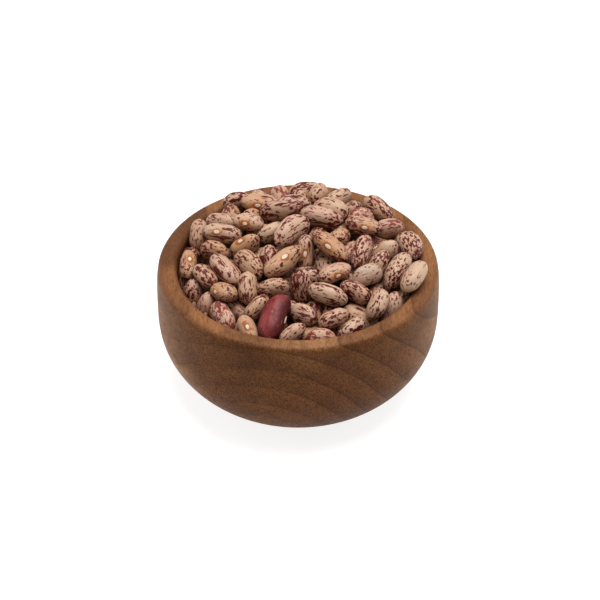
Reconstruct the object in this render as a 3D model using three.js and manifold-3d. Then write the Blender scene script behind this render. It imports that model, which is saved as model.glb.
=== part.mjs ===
// A small turned wooden bowl, heaped with dried speckled beans and one red kidney bean.
// Millimetres, +Z up. The bowl stands on z = 0 round the axis x = y = 0, and -Y is its front.
import * as THREE from "three";
import { mergeVertices } from "three/addons/utils/BufferGeometryUtils.js";
import Module from "manifold-3d";

const wasm = await Module();
wasm.setup();

// ---- Driving dimensions of the bowl ----
const BOWL_HEIGHT = 46.4;
const FOOT_RADIUS = 27.5; // the flat ring that the bowl stands on
const BELLY_RADIUS = 47; // its widest ring
const BELLY_HEIGHT = 28.1;
const RIM_RADIUS = 46.2; // outside, at the very top
const WALL = 6.4;
const FLOOR = 7; // thickness of wood under the beans
const EDGE_ROUND = 2.5; // rounding of the rim's two edges
const FLARE = 2.31; // how fast the side leaves the foot
const SHOULDER = 0.8; // how full it is where it turns upright
const BOWL_SIDES = 48;

// ---- Driving dimensions of the heap ----
// The heap's outline is the top of a large ball, whose highest point lies a little behind the middle.
const BALL_RADIUS = 100;
const PEAK = new THREE.Vector3(4, 10, 57);
const BALL_CENTRE = PEAK.clone().setZ(PEAK.z - BALL_RADIUS);
const CORE_DEPTH = 13.2; // from the tops of the beans down to the plain core
const CLEARANCE = 0.45; // between the core and the wood
const WALL_GAP = 0.8; // between a bean's straight outline and the wood, to leave room for its curl
const CORE_SIDES = 40;

// ---- Driving dimensions of a bean ----
const SHORTEST = 10.5;
const LONGEST = 16;
const WIDTH_BASE = 3.8; // a bean is this wide, and WIDTH_SHARE of its length more
const WIDTH_SHARE = 0.3;
const WIDTH_SPREAD = 0.8; // from the narrowest to the widest of one length
const FLATNESS = 0.79; // thickness as a share of the width
const STRAIGHT = 0.3; // share of its length between the two round ends
const CURL = 0.9; // how far the ends bend towards the eye
const TAPER = 0.12; // how much slimmer a bean gets towards its ends than when it was laid
const KIDNEY_LENGTH = 17.5;
const KIDNEY_WIDTH = 8.4;
const KIDNEY_CURL = 1.7;
const FUSE = 1.03; // the beans of the heap are this much larger, so that they join where they touch
const FUSE_STEP = 0.25; // and those that still miss their neighbours come down by such steps
const KIDNEY_GAP = 0.35; // between the red bean and the heap

// ---- How the beans lie ----
// Each row is a bean on top, from the back of the bowl to the front, and last the one under the red
// bean, five along the back edge and two at the front: x, y of its one end and its other end, how far
// its eye looks to the left on the way between them (below 0 to the right, at 0 it is turned under)
// and how far the bean is lifted.
const TOP_BEANS = [
  [-29, 24, -19, 17, 0, -1], [-20, 28, -7, 29, -5, -0.5], [-7, 24, 4, 28, 0, -0.5],
  [8, 35, 6, 28, 0, 0], [8, 28, 19, 34, 0, -1], [-13, 20, 2, 20, 0, 0],
  [5, 22, 17, 18, 0, 1], [1, 17, 15, 11, 0, 1], [20, 25, 31, 17, 0, 0],
  [-32, 19, -34, 8, 0, 0], [-21, 18, -13, 13, -1, 0], [-31, 17, -20, 9, -0.5, 0],
  [-14, 7, -3, 10, 0, 0], [-7, 0, 3, 12, 0, 1], [14, 12, 27, 12, -1, 0],
  [27, 13, 35, 12, 0, 0], [34, 14, 38.5, 1, 0, 0], [-23, 2, -12, 3, -0.1, 0],
  [-31, 6, -23, 1, 0, 0], [5, 4, 17, -4, -0.6, 0], [24, 5, 18, -8, 0, 0],
  [36, -1, 28, -15, 0, 0], [41, -5, 34, -17, 0, 3], [-12, -12, 1, -2, -0.2, 0],
  [-21, -2, -10, -11, 0, 0], [-30, -2, -18, -12, 0, 0], [-37, 4, -37, -8, 0.4, 0],
  [-33, -4, -28, -13, 0, 0], [7, -15, 16, -8, -0.8, 0], [-3, -11, 8, -12, 0, -2],
  [19, -13, 27, -10, 0, 0], [3, -17, 15, -23, 0, 0], [14, -16, 23, -21, 0, 0],
  [14, -25, 26, -30, -3, 0], [28, -18, 23, -26, 0, 0], [-18, -19, -13, -14, 0, 0],
  [-13, -19, -3, -15, 0, 0], [-28, -13, -19, -19, -0.4, 0], [-29, -19, -20, -30, 0, 0],
  [-19, -28, -12, -35, 0.1, 0], [-16, -27, -10, -21, 0, 0], [-2, -26, 4, -29, 0, 0],
  [8, -31, 15, -28, 0, 0], [11, -35, 21, -30, 0, 1], [-39, 10, -32, 3, 0, -1],
  [-7, -35, 3, -32, 0, 0], [-13, -25, -4, -30, 0, -5], [-24, 28, -19, 33, 0, -0.5],
  [-9, 36, -4, 32, 0, -1.5], [0, 34, 3, 27, 0.1, -1.5], [17, 33, 20, 26, 0, -2.5],
  [18, 17, 25, 23, 0, -1], [6.5, -21.5, 5.5, -31, 0, -2], [4, -35, 12, -33.5, 0, -1],
];
const KIDNEY_ROW = [-4.3, -23, -11.2, -38, 1, 3];
const TOP_DEPTH = 4; // from the heap's outline to the middle of a bean on top
const UNDER_TOP = 5.5; // the least such depth of the ends of a bean's straight middle below those
const EYE_RISE = 0.5; // how far every such eye looks up
const KIDNEY_EYE_RISE = 0.1;
const UNDER_COUNT = 50; // beans that fill the gaps between and below those on top
const UNDER_REACH = 38; // how far out from the bowl's axis they start
const UPPER_SHARE = 0.65; // this share of them starts at UPPER_DEPTH and the rest at LOWER_DEPTH
const UPPER_DEPTH = 5;
const UPPER_SPREAD = 1.5; // the deepest of the upper ones starts this much deeper
const LOWER_DEPTH = 11;
const UNDER_SHORTEST = 11.5;
const UNDER_SPREAD = 4; // from the shortest of those below to the longest
const TRIES = 40; // places tried for each, of which the emptiest is taken
const SEED = 26;

// ---- How they settle ----
const PLACING_ROUNDS = 160; // the beans go to their places
const SINKING_ROUNDS = 90; // every bean sinks until it rests on others
const CALM_ROUNDS = 50; // the beans only make room for each other
const SINK = 0.04; // how far a bean sinks in a round, in millimetres
const TOP_EASE = 0.2; // how readily a bean on top gives way, beside one below
const KIDNEY_EASE = 0.05; // the red bean lies on the others and hardly gives way
const PULL = 0.08; // share of the way to its depth that a bean moves in a round
const HOLD = 0.25; // the same for a bean on top and the place that its row gives
const SINKING_HOLD = 0.08; // and for that bean while it sinks
const SLIDE = 0.9; // a bean on top slides freely towards and away from a viewer in front
const VIEWER = [0, -391, 335];
const MAKE_ROOM = 0.6; // share of an overlap that is cleared in a round
const NEAR = 1; // two beans whose middles lie this much further apart than their lengths reach are left

// ---------------------------------------------------------------- bowl

// The wall's outside above the belly, where it draws in a little, and the hollow all the way down.
function upperRadius(z) {
  const share = (z - BELLY_HEIGHT) / (BOWL_HEIGHT - BELLY_HEIGHT);
  return BELLY_RADIUS - (BELLY_RADIUS - RIM_RADIUS) * share * share;
}

function lowerRadius(z) {
  const rise = 1 - Math.pow(1 - z / BELLY_HEIGHT, FLARE);
  return FOOT_RADIUS + (BELLY_RADIUS - FOOT_RADIUS) * Math.pow(rise, SHOULDER);
}

function hollowRadius(z) {
  if (z >= BELLY_HEIGHT) return upperRadius(z) - WALL;
  const depth = (BELLY_HEIGHT - z) / (BELLY_HEIGHT - FLOOR);
  return (BELLY_RADIUS - WALL) * Math.sqrt(Math.max(0, 1 - depth * depth));
}

// The points of a quarter round, from one direction to the next, in steps.
function quarter(centreRadius, centreZ, startAngle, steps) {
  return Array.from({ length: steps + 1 }, (_, i) => {
    const angle = startAngle + (i / steps) * (Math.PI / 2);
    return new THREE.Vector2(
      centreRadius + EDGE_ROUND * Math.cos(angle),
      centreZ + EDGE_ROUND * Math.sin(angle),
    );
  });
}

function bowlProfile() {
  const points = [new THREE.Vector2(0, 0)];
  const lowerSteps = 8;
  const crowding = 1.6; // draws the steps together near the foot
  for (let i = 0; i < lowerSteps; i++) {
    const z = BELLY_HEIGHT * Math.pow(i / lowerSteps, crowding);
    points.push(new THREE.Vector2(lowerRadius(z), z));
  }
  const shoulderZ = BOWL_HEIGHT - EDGE_ROUND;
  const upperSteps = 2;
  for (let i = 0; i < upperSteps; i++) {
    const z = BELLY_HEIGHT + (i / upperSteps) * (shoulderZ - BELLY_HEIGHT);
    points.push(new THREE.Vector2(upperRadius(z), z));
  }
  const edgeSteps = 4;
  points.push(...quarter(RIM_RADIUS - EDGE_ROUND, shoulderZ, 0, edgeSteps));
  points.push(...quarter(RIM_RADIUS - WALL + EDGE_ROUND, shoulderZ, Math.PI / 2, edgeSteps));
  points.push(new THREE.Vector2(hollowRadius(BELLY_HEIGHT), BELLY_HEIGHT));
  return points.concat(hollowPoints(0));
}

// The round bottom of the hollow, from below its straight wall to the axis, drawn in by an inset.
function hollowPoints(inset) {
  const steps = 6;
  const radius = BELLY_RADIUS - WALL - inset;
  const depth = BELLY_HEIGHT - FLOOR - inset;
  return Array.from({ length: steps }, (_, i) => {
    const angle = ((i + 1) / steps) * (Math.PI / 2);
    const r = i + 1 === steps ? 0 : radius * Math.cos(angle);
    return new THREE.Vector2(r, BELLY_HEIGHT - depth * Math.sin(angle));
  });
}

// ---------------------------------------------------------------- solids

function solidOf(geometry) {
  const bare = geometry.clone();
  bare.deleteAttribute("normal");
  bare.deleteAttribute("uv");
  const merged = mergeVertices(bare, 1e-3);
  return new wasm.Manifold(
    new wasm.Mesh({
      numProp: 3,
      vertProperties: merged.attributes.position.array,
      triVerts: new Uint32Array(merged.index.array),
    }),
  );
}

function geometryOf(solid) {
  const mesh = solid.getMesh();
  const geometry = new THREE.BufferGeometry();
  geometry.setAttribute("position", new THREE.BufferAttribute(mesh.vertProperties, 3));
  geometry.setIndex(new THREE.BufferAttribute(mesh.triVerts, 1));
  return geometry.toNonIndexed();
}

// The largest body of a solid: its sealed hollows are filled and its scraps dropped.
function mainBody(solid) {
  return solid.decompose().reduce((a, b) => (b.volume() > a.volume() ? b : a));
}

// A lathe's profile turns round Y, and the bowl's axis is Z.
function turned(points, sides) {
  return new THREE.LatheGeometry(points, sides).rotateX(Math.PI / 2);
}

// The plain inside of the heap: what fits in the hollow, under a ball smaller than the outline.
function coreSolid() {
  const wallTop = BOWL_HEIGHT;
  const fill = [
    new THREE.Vector2(0, wallTop),
    new THREE.Vector2(hollowRadius(wallTop) - CLEARANCE, wallTop),
    new THREE.Vector2(hollowRadius(BELLY_HEIGHT) - CLEARANCE, BELLY_HEIGHT),
    ...hollowPoints(CLEARANCE),
  ].reverse();
  const ball = new THREE.SphereGeometry(BALL_RADIUS - CORE_DEPTH, CORE_SIDES, CORE_SIDES)
    .rotateX(Math.PI / 2)
    .translate(BALL_CENTRE.x, BALL_CENTRE.y, BALL_CENTRE.z);
  return solidOf(turned(fill, CORE_SIDES)).intersect(solidOf(ball));
}

// ---------------------------------------------------------------- small vectors

const add = (a, b) => [a[0] + b[0], a[1] + b[1], a[2] + b[2]];
const sub = (a, b) => [a[0] - b[0], a[1] - b[1], a[2] - b[2]];
const mul = (a, k) => [a[0] * k, a[1] * k, a[2] * k];
const dot = (a, b) => a[0] * b[0] + a[1] * b[1] + a[2] * b[2];
const size = (a) => Math.sqrt(dot(a, a));
const unit = (a) => mul(a, 1 / size(a));
const middle = (a, b) => mul(add(a, b), 0.5);
const clamp = (x, low, high) => (x < low ? low : x > high ? high : x);
const cross = (a, b) => [
  a[1] * b[2] - a[2] * b[1],
  a[2] * b[0] - a[0] * b[2],
  a[0] * b[1] - a[1] * b[0],
];

// A number from 0 to 1 at each call, the same ones in every run.
let seed = SEED;
function draw() {
  seed = (seed * 1664525 + 1013904223) % 4294967296;
  return seed / 4294967296;
}

function drawDirection() {
  const side = () => 2 * draw() - 1;
  for (;;) {
    const d = [side(), side(), side()];
    const far = dot(d, d);
    if (far > 0.1 && far < 1) return d;
  }
}

// ---------------------------------------------------------------- one bean

// A bean is a straight middle between two round ends. It is wide towards its eye and thin across.
class Bean {
  constructor(start, end, length, width, eye, isTop) {
    this.length = length;
    this.width = width;
    this.thickness = FLATNESS * width;
    this.half = (STRAIGHT * length) / 2;
    this.tip = length / 2 - this.half;
    this.eye = eye;
    this.isTop = isTop;
    this.ease = isTop ? TOP_EASE : 1;
    this.start = start;
    this.end = end;
    this.straighten();
  }

  // Turns the bean's own three directions to where its two ends have moved.
  turn() {
    this.along = unit(sub(this.end, this.start));
    this.up = unit(sub(this.eye, mul(this.along, dot(this.eye, this.along))));
    this.across = cross(this.along, this.up);
    this.middle = middle(this.start, this.end);
  }

  straighten() {
    this.turn();
    this.start = sub(this.middle, mul(this.along, this.half));
    this.end = add(this.middle, mul(this.along, this.half));
  }

  // How far it stands out from its middle line in a direction.
  reach(direction) {
    const up = (dot(direction, this.up) * this.width) / 2;
    const across = (dot(direction, this.across) * this.thickness) / 2;
    const along = dot(direction, this.along) * this.tip;
    return Math.sqrt(up * up + across * across + along * along);
  }

  // Moves the point at a share of the way from its start to its end by a distance.
  push(direction, distance, share) {
    const rest = 1 - share;
    const step = distance / (rest * rest + share * share);
    this.start = add(this.start, mul(direction, step * rest));
    this.end = add(this.end, mul(direction, step * share));
  }
}

function onBall(x, y, radius) {
  const dx = x - BALL_CENTRE.x;
  const dy = y - BALL_CENTRE.y;
  return [x, y, BALL_CENTRE.z + Math.sqrt(radius * radius - dx * dx - dy * dy)];
}

function outwards(point) {
  return sub(point, [BALL_CENTRE.x, BALL_CENTRE.y, BALL_CENTRE.z]);
}

function widthOf(length) {
  return WIDTH_BASE + WIDTH_SHARE * length + (draw() - 0.5) * WIDTH_SPREAD;
}

function topBean([x1, y1, x2, y2, side, lift], length, width, eyeRise = EYE_RISE) {
  const start = onBall(x1, y1, BALL_RADIUS - TOP_DEPTH + lift);
  const end = onBall(x2, y2, BALL_RADIUS - TOP_DEPTH + lift);
  const long = length ?? clamp(size(sub(end, start)), SHORTEST, LONGEST);
  const wide = width ?? widthOf(long);
  const up = unit(outwards(middle(start, end)));
  const across = cross(up, unit(sub(end, start)));
  const eye = side
    ? add(mul(up, eyeRise), mul(across, side))
    : add(mul(up, -1), mul(across, 2 * draw() - 1));
  const bean = new Bean(start, end, long, wide, eye, true);
  bean.homeStart = bean.start;
  bean.homeEnd = bean.end;
  bean.homeMiddle = bean.middle;
  return bean;
}

// A place in the heap at a depth, drawn evenly over the bowl's round.
function drawPlace(depth) {
  for (;;) {
    const x = UNDER_REACH * (2 * draw() - 1);
    const y = UNDER_REACH * (2 * draw() - 1);
    if (x * x + y * y < UNDER_REACH * UNDER_REACH) return onBall(x, y, BALL_RADIUS - depth);
  }
}

function emptiness(place, beans) {
  let least = Infinity;
  for (const bean of beans) {
    for (const point of [bean.start, bean.middle, bean.end]) {
      const apart = sub(place, point);
      least = Math.min(least, dot(apart, apart));
    }
  }
  return least;
}

function emptiestPlace(depth, beans) {
  let best = drawPlace(depth);
  let bestRoom = emptiness(best, beans);
  for (let i = 1; i < TRIES; i++) {
    const place = drawPlace(depth);
    const room = emptiness(place, beans);
    if (room > bestRoom) [best, bestRoom] = [place, room];
  }
  return best;
}

function underBean(number, beans) {
  const isUpper = number < UNDER_COUNT * UPPER_SHARE;
  const depth = isUpper ? UPPER_DEPTH + UPPER_SPREAD * draw() : LOWER_DEPTH;
  const place = emptiestPlace(depth, beans);
  const tilted = drawDirection();
  const along = unit([tilted[0], tilted[1], tilted[2] / 2]);
  const leastTurn = 0.2; // an eye that looks along the bean is drawn again
  let eye = drawDirection();
  while (size(cross(along, eye)) < leastTurn) eye = drawDirection();
  const length = UNDER_SHORTEST + UNDER_SPREAD * draw();
  const bean = new Bean(sub(place, along), add(place, along), length, widthOf(length), eye, false);
  bean.depth = depth;
  return bean;
}

// ---------------------------------------------------------------- the settling

// The shares along two beans' middle lines at which the lines come nearest.
function nearest(a, b) {
  const da = sub(a.end, a.start);
  const db = sub(b.end, b.start);
  const gap = sub(a.start, b.start);
  const aa = dot(da, da);
  const bb = dot(db, db);
  const ab = dot(da, db);
  const ag = dot(da, gap);
  const bg = dot(db, gap);
  const spread = aa * bb - ab * ab;
  const free = spread > 1e-9 ? clamp((ab * bg - ag * bb) / spread, 0, 1) : 0.5;
  const share = (ab * free + bg) / bb;
  if (share < 0) return [clamp(-ag / aa, 0, 1), 0];
  if (share > 1) return [clamp((ab - ag) / aa, 0, 1), 1];
  return [free, share];
}

function makeRoom(a, b) {
  const apart = sub(a.middle, b.middle);
  const touching = 0.5 * (a.length + b.length) + NEAR;
  if (dot(apart, apart) > touching * touching) return;
  const [shareA, shareB] = nearest(a, b);
  const pointA = add(a.start, mul(sub(a.end, a.start), shareA));
  const pointB = add(b.start, mul(sub(b.end, b.start), shareB));
  const between = sub(pointA, pointB);
  const distance = size(between);
  if (distance < 1e-6) return;
  const direction = mul(between, 1 / distance);
  const overlap = a.reach(direction) + b.reach(direction) - distance;
  if (overlap <= 0) return;
  const step = (MAKE_ROOM * overlap) / (a.ease + b.ease);
  a.push(direction, step * a.ease, shareA);
  b.push(direction, -step * b.ease, shareB);
}

// Keeps an end of a bean off the wall and the round inner edge of the rim.
function clearWall(bean, share) {
  const point = share ? bean.end : bean.start;
  const out = Math.sqrt(point[0] * point[0] + point[1] * point[1]);
  if (out < 1e-6) return;
  const shoulderZ = BOWL_HEIGHT - EDGE_ROUND;
  if (point[2] < shoulderZ) {
    const inwards = [-point[0] / out, -point[1] / out, 0];
    const room = hollowRadius(point[2]) - out - bean.reach(inwards) - WALL_GAP;
    if (room < 0) bean.push(inwards, -room, share);
    return;
  }
  const ring = RIM_RADIUS - WALL + EDGE_ROUND;
  const fromRing = [
    point[0] - (point[0] / out) * ring,
    point[1] - (point[1] / out) * ring,
    point[2] - shoulderZ,
  ];
  const distance = size(fromRing);
  const direction = mul(fromRing, 1 / distance);
  const room = distance - EDGE_ROUND - bean.reach(direction) - WALL_GAP;
  if (room < 0) bean.push(direction, -room, share);
}

// Keeps an end of a bean out of the core and, below the top ones, well under the outline.
function clearCore(bean, share) {
  const from = outwards(share ? bean.end : bean.start);
  const distance = size(from);
  const direction = mul(from, 1 / distance);
  const room = distance - bean.reach(direction) - (BALL_RADIUS - CORE_DEPTH);
  if (room < 0) bean.push(direction, -room, share);
  const under = BALL_RADIUS - UNDER_TOP - distance;
  if (!bean.isTop && under < 0) bean.push(direction, under, share);
}

// Draws a bean on top back to its row, though it may slide as a whole along the line of sight.
function goHome(bean, hold) {
  const sight = unit(sub(bean.homeMiddle, VIEWER));
  const slide = mul(sight, SLIDE * dot(sub(bean.middle, bean.homeMiddle), sight));
  bean.start = add(bean.start, mul(sub(add(bean.homeStart, slide), bean.start), hold));
  bean.end = add(bean.end, mul(sub(add(bean.homeEnd, slide), bean.end), hold));
}

function moveOutwards(bean, distance) {
  const step = mul(unit(outwards(bean.middle)), distance);
  bean.start = add(bean.start, step);
  bean.end = add(bean.end, step);
}

function goToDepth(bean) {
  const height = size(outwards(bean.middle));
  moveOutwards(bean, PULL * (BALL_RADIUS - bean.depth - height));
}

function settle(beans) {
  const sinkingEnd = PLACING_ROUNDS + SINKING_ROUNDS;
  for (let round = 0; round < sinkingEnd + CALM_ROUNDS; round++) {
    const placing = round < PLACING_ROUNDS;
    const sinking = !placing && round < sinkingEnd;
    for (const bean of beans) {
      if (sinking) moveOutwards(bean, -SINK);
      if (bean.isTop && (placing || sinking)) goHome(bean, placing ? HOLD : SINKING_HOLD);
      if (!bean.isTop && placing) goToDepth(bean);
      bean.turn();
    }
    beans.forEach((bean, i) => beans.slice(i + 1).forEach((other) => makeRoom(bean, other)));
    for (const bean of beans) {
      for (const share of [0, 1]) {
        clearWall(bean, share);
        clearCore(bean, share);
      }
      bean.straighten();
    }
  }
}

// The red bean comes first, and those below come last, each in the widest gap that is left.
function layBeans() {
  const kidney = topBean(KIDNEY_ROW, KIDNEY_LENGTH, KIDNEY_WIDTH, KIDNEY_EYE_RISE);
  kidney.ease = KIDNEY_EASE;
  const beans = [kidney];
  for (const row of TOP_BEANS) beans.push(topBean(row));
  for (let i = 0; i < UNDER_COUNT; i++) beans.push(underBean(i, beans));
  settle(beans);
  return beans;
}

// ---------------------------------------------------------------- bean solids

// How finely a bean is made, how it curls and tapers, and how much larger it is than when laid.
const TOP_SHAPE = { sides: 8, rings: 6, curl: CURL, taper: TAPER, grow: FUSE };
const UNDER_SHAPE = { sides: 7, rings: 5, curl: CURL, taper: TAPER, grow: FUSE };
const KIDNEY_SHAPE = { sides: 16, rings: 10, curl: KIDNEY_CURL, taper: 0, grow: 1 };

// A ball drawn out into the bean's shape: round ends, a slightly crowned middle, a curl towards
// the eye.
function beanSolid(bean, { sides, rings, curl, taper, grow }) {
  const geometry = new THREE.SphereGeometry(1, sides, rings);
  const position = geometry.attributes.position;
  for (let i = 0; i < position.count; i++) {
    const lengthways = position.getY(i);
    const ends = Math.abs(lengthways) < 1e-6 ? 0 : Math.sign(lengthways);
    const along = (lengthways * bean.tip + ends * bean.half) * grow;
    const towardsEnd = ((2 * along) / bean.length) ** 2;
    const plump = grow * (1 - taper * towardsEnd);
    const bend = curl * towardsEnd - curl / 3;
    const up = (position.getX(i) * bean.width * plump) / 2 + bend;
    const across = (position.getZ(i) * bean.thickness * plump) / 2;
    position.setXYZ(i, up, along, across);
  }
  const place = new THREE.Matrix4().makeBasis(
    new THREE.Vector3(...bean.up),
    new THREE.Vector3(...bean.along),
    new THREE.Vector3(...mul(bean.across, -1)),
  );
  place.setPosition(new THREE.Vector3(...bean.middle));
  return solidOf(geometry.applyMatrix4(place));
}

function bodiesOf(solid) {
  return solid.decompose().filter((body) => body.volume() > 0).length;
}

// Joins a bean to the heap, let down a little further each time that it doesn't touch it.
function fuse(heap, bean, shape) {
  const part = beanSolid(bean, shape);
  const down = mul(unit(outwards(bean.middle)), -FUSE_STEP);
  for (let steps = 0; ; steps++) {
    const joined = heap.add(part.translate(mul(down, steps)));
    if (bodiesOf(joined) === 1) return joined;
  }
}

function heapSolid(beans, kidney) {
  const fromCore = (bean) => size(outwards(bean.middle));
  const upwards = [...beans].sort((a, b) => fromCore(a) - fromCore(b));
  let heap = coreSolid();
  for (const bean of upwards) heap = fuse(heap, bean, bean.isTop ? TOP_SHAPE : UNDER_SHAPE);
  const kidneyGrow = 1 + (2 * KIDNEY_GAP) / kidney.thickness;
  const room = beanSolid(kidney, { ...KIDNEY_SHAPE, grow: kidneyGrow });
  return mainBody(heap.subtract(room));
}

// ---------------------------------------------------------------- the object

function piece(name, geometry, colour, roughness) {
  const material = new THREE.MeshStandardMaterial({ color: colour, roughness, metalness: 0 });
  const mesh = new THREE.Mesh(geometry, material);
  mesh.name = name;
  return mesh;
}

const [kidney, ...beans] = layBeans();
const kidneySolid = beanSolid(kidney, KIDNEY_SHAPE);

const bowlOfBeans = new THREE.Group();
bowlOfBeans.add(
  piece("bowl", turned(bowlProfile(), BOWL_SIDES), 0x7a5238, 0.55),
  piece("beans", geometryOf(heapSolid(beans, kidney)), 0xcdb196, 0.5),
  piece("kidney_bean", geometryOf(kidneySolid), 0x5e222b, 0.35),
);

export default bowlOfBeans;
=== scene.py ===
import math
import bpy
import numpy as np
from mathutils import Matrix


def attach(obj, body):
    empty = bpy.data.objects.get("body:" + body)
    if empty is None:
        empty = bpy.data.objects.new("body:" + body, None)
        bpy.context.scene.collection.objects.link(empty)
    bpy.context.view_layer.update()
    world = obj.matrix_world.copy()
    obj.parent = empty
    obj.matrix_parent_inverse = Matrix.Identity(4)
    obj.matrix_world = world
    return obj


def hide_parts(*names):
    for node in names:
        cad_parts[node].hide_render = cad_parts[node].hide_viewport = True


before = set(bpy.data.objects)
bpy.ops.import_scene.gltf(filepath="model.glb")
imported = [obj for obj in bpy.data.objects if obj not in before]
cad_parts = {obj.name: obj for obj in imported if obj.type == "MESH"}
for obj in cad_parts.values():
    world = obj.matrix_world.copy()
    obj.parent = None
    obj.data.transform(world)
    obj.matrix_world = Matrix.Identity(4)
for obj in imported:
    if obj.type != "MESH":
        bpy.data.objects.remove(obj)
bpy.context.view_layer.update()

# ---------------------------------------------------------------- the view
# The bowl is seen from the front and well above, through a long lens, so that the rim is an even
# oval and the heap shows from its front slope to its top. The aim lies a little above the middle.
MM = 0.001  # sizes are in millimetres from here on, and become metres where a mesh is made
VIEW_DISTANCE = 500 * MM
VIEW_ABOVE = math.radians(38.58)
AIM_HEIGHT = 23.2 * MM
SENSOR_WIDTH = 36
FOCAL_LENGTH = 88.54
FRAME_RIGHT = 0.0032  # how far the frame lies off the lens's middle, as a share of its width
FRAME_UP = 0.0252

bpy.ops.object.select_all(action="DESELECT")
bpy.ops.object.camera_add(
    location=(
        0,
        -VIEW_DISTANCE * math.cos(VIEW_ABOVE),
        AIM_HEIGHT + VIEW_DISTANCE * math.sin(VIEW_ABOVE),
    ),
    rotation=(math.pi / 2 - VIEW_ABOVE, 0, 0),
)
camera = bpy.context.object
camera.name = "view_from_the_front"
camera.data.sensor_width = SENSOR_WIDTH
camera.data.lens = FOCAL_LENGTH
camera.data.shift_x = FRAME_RIGHT
camera.data.shift_y = FRAME_UP
camera.data.clip_start = 10 * MM
bpy.context.scene.camera = camera

# ---------------------------------------------------------------- the bowl
# One piece of brown hardwood, turned on a lathe and oiled: a flat foot, a round belly, an upright
# wall and a rim with both edges rounded over. The grain runs from front to back, so that the front
# and the back show end grain with its growth rings, and the sides and the rim show long grain.
BOWL_HEIGHT = 46.4
FOOT_RADIUS = 27.5
BELLY_RADIUS = 47  # its widest ring
BELLY_HEIGHT = 28.1
RIM_RADIUS = 46.2  # outside, at the very top
WALL = 6.4
FLOOR = 7  # thickness of wood under the beans
EDGE_ROUND = 2.5
FLARE = 2.31  # how fast the side leaves the foot
SHOULDER = 0.8  # how full it is where it turns upright
BOWL_SIDES = 144
FOOT_CROWDING = 1.6  # above 1, its rings lie closer together towards the foot
WOOD_LIGHT = (0.330, 0.155, 0.067, 1)
WOOD_DARK = (0.140, 0.062, 0.028, 1)
WOOD_PALE = (0.500, 0.280, 0.140, 1)
# The smoky colour also serves as painted shade on the lower wall.
WOOD_SMOKE_AND_SHADE = (0.110, 0.048, 0.024, 1)
WOOD_PORE = (0.075, 0.026, 0.010, 1)
END_GRAIN_AND_SHADE = (0.64, 0.56, 0.42, 1)  # end grain drinks more oil and is darker, and this factor also paints shade on the front and back walls
HEART = (-11, 3.5)  # x and z of the line from front to back that the growth rings go round
RING_WIDTH = 7.2
RING_LINE = 0.14  # the dark line at a ring's start takes this share of it
LOW_SHADE_TOP = 26  # painted shade: the wood gets darker from here down to the foot
SMOKY_PLACE = (-41, 14, 44)  # on the left of the rim, where smoky streaks crowd
PALE_PLACE = (-37, -22, 17)  # low on the left
LIT_RIM_PLACE = (3, -45, 47)  # at the front of the rim, a pool of painted light
PLACE_CORE = 3  # such a place is full out to here, and has faded out at PLACE_EDGE
PLACE_EDGE = 15
PLACE_STRETCH = 0.55  # it is longer along the grain than across it, by 1 over this


def upper_radius(z):
    share = (z - BELLY_HEIGHT) / (BOWL_HEIGHT - BELLY_HEIGHT)
    return BELLY_RADIUS - (BELLY_RADIUS - RIM_RADIUS) * share * share


def lower_radius(z):
    rise = 1 - (1 - z / BELLY_HEIGHT) ** FLARE
    return FOOT_RADIUS + (BELLY_RADIUS - FOOT_RADIUS) * rise ** SHOULDER


def hollow_radius(z):
    if z >= BELLY_HEIGHT:
        return upper_radius(z) - WALL
    depth = (BELLY_HEIGHT - z) / (BELLY_HEIGHT - FLOOR)
    return (BELLY_RADIUS - WALL) * math.sqrt(max(0, 1 - depth * depth))


def quarter_round(radius, height, start, steps):
    """Radius and height along a rounded edge, which turns by a quarter from its start."""
    for i in range(steps + 1):
        angle = start + i / steps * math.pi / 2
        yield radius + EDGE_ROUND * math.cos(angle), height + EDGE_ROUND * math.sin(angle)


def bowl_rings():
    """Radius and height of each ring of the bowl, up the outside, over the rim and down inside."""
    shoulder = BOWL_HEIGHT - EDGE_ROUND
    outside_steps = 26
    wall_steps = 8
    edge_steps = 10
    hollow_steps = 18
    for i in range(1, outside_steps):
        height = BELLY_HEIGHT * (i / outside_steps) ** FOOT_CROWDING
        yield lower_radius(height), height
    for i in range(wall_steps):
        height = BELLY_HEIGHT + i / wall_steps * (shoulder - BELLY_HEIGHT)
        yield upper_radius(height), height
    yield from quarter_round(RIM_RADIUS - EDGE_ROUND, shoulder, 0, edge_steps)
    yield from quarter_round(RIM_RADIUS - WALL + EDGE_ROUND, shoulder, math.pi / 2, edge_steps)
    yield hollow_radius(BELLY_HEIGHT), BELLY_HEIGHT
    for i in range(1, hollow_steps):
        angle = i / hollow_steps * math.pi / 2
        depth = (BELLY_HEIGHT - FLOOR) * math.sin(angle)
        yield (BELLY_RADIUS - WALL) * math.cos(angle), BELLY_HEIGHT - depth


bpy.ops.object.select_all(action="DESELECT")
bpy.ops.mesh.primitive_circle_add(vertices=BOWL_SIDES, radius=FOOT_RADIUS * MM, fill_type="NGON")
bowl = bpy.context.object
bowl.name = "turned_bowl"
bpy.ops.object.mode_set(mode="EDIT")
bpy.ops.mesh.select_all(action="SELECT")
ring_radius, ring_height = FOOT_RADIUS, 0
for next_radius, next_height in bowl_rings():
    rise = (next_height - ring_height) * MM
    grow = next_radius / ring_radius
    bpy.ops.mesh.extrude_region_move(TRANSFORM_OT_translate={"value": (0, 0, rise)})
    bpy.ops.transform.resize(value=(grow, grow, 1), center_override=(0, 0, 0))
    ring_radius, ring_height = next_radius, next_height
rise = (FLOOR - ring_height) * MM
bpy.ops.mesh.extrude_region_move(TRANSFORM_OT_translate={"value": (0, 0, rise)})
bpy.ops.mesh.merge(type="CENTER")
bpy.ops.mesh.select_all(action="SELECT")
bpy.ops.mesh.normals_make_consistent(inside=False)
bpy.ops.object.mode_set(mode="OBJECT")
bpy.ops.object.shade_smooth_by_angle(angle=math.radians(50))


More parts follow.
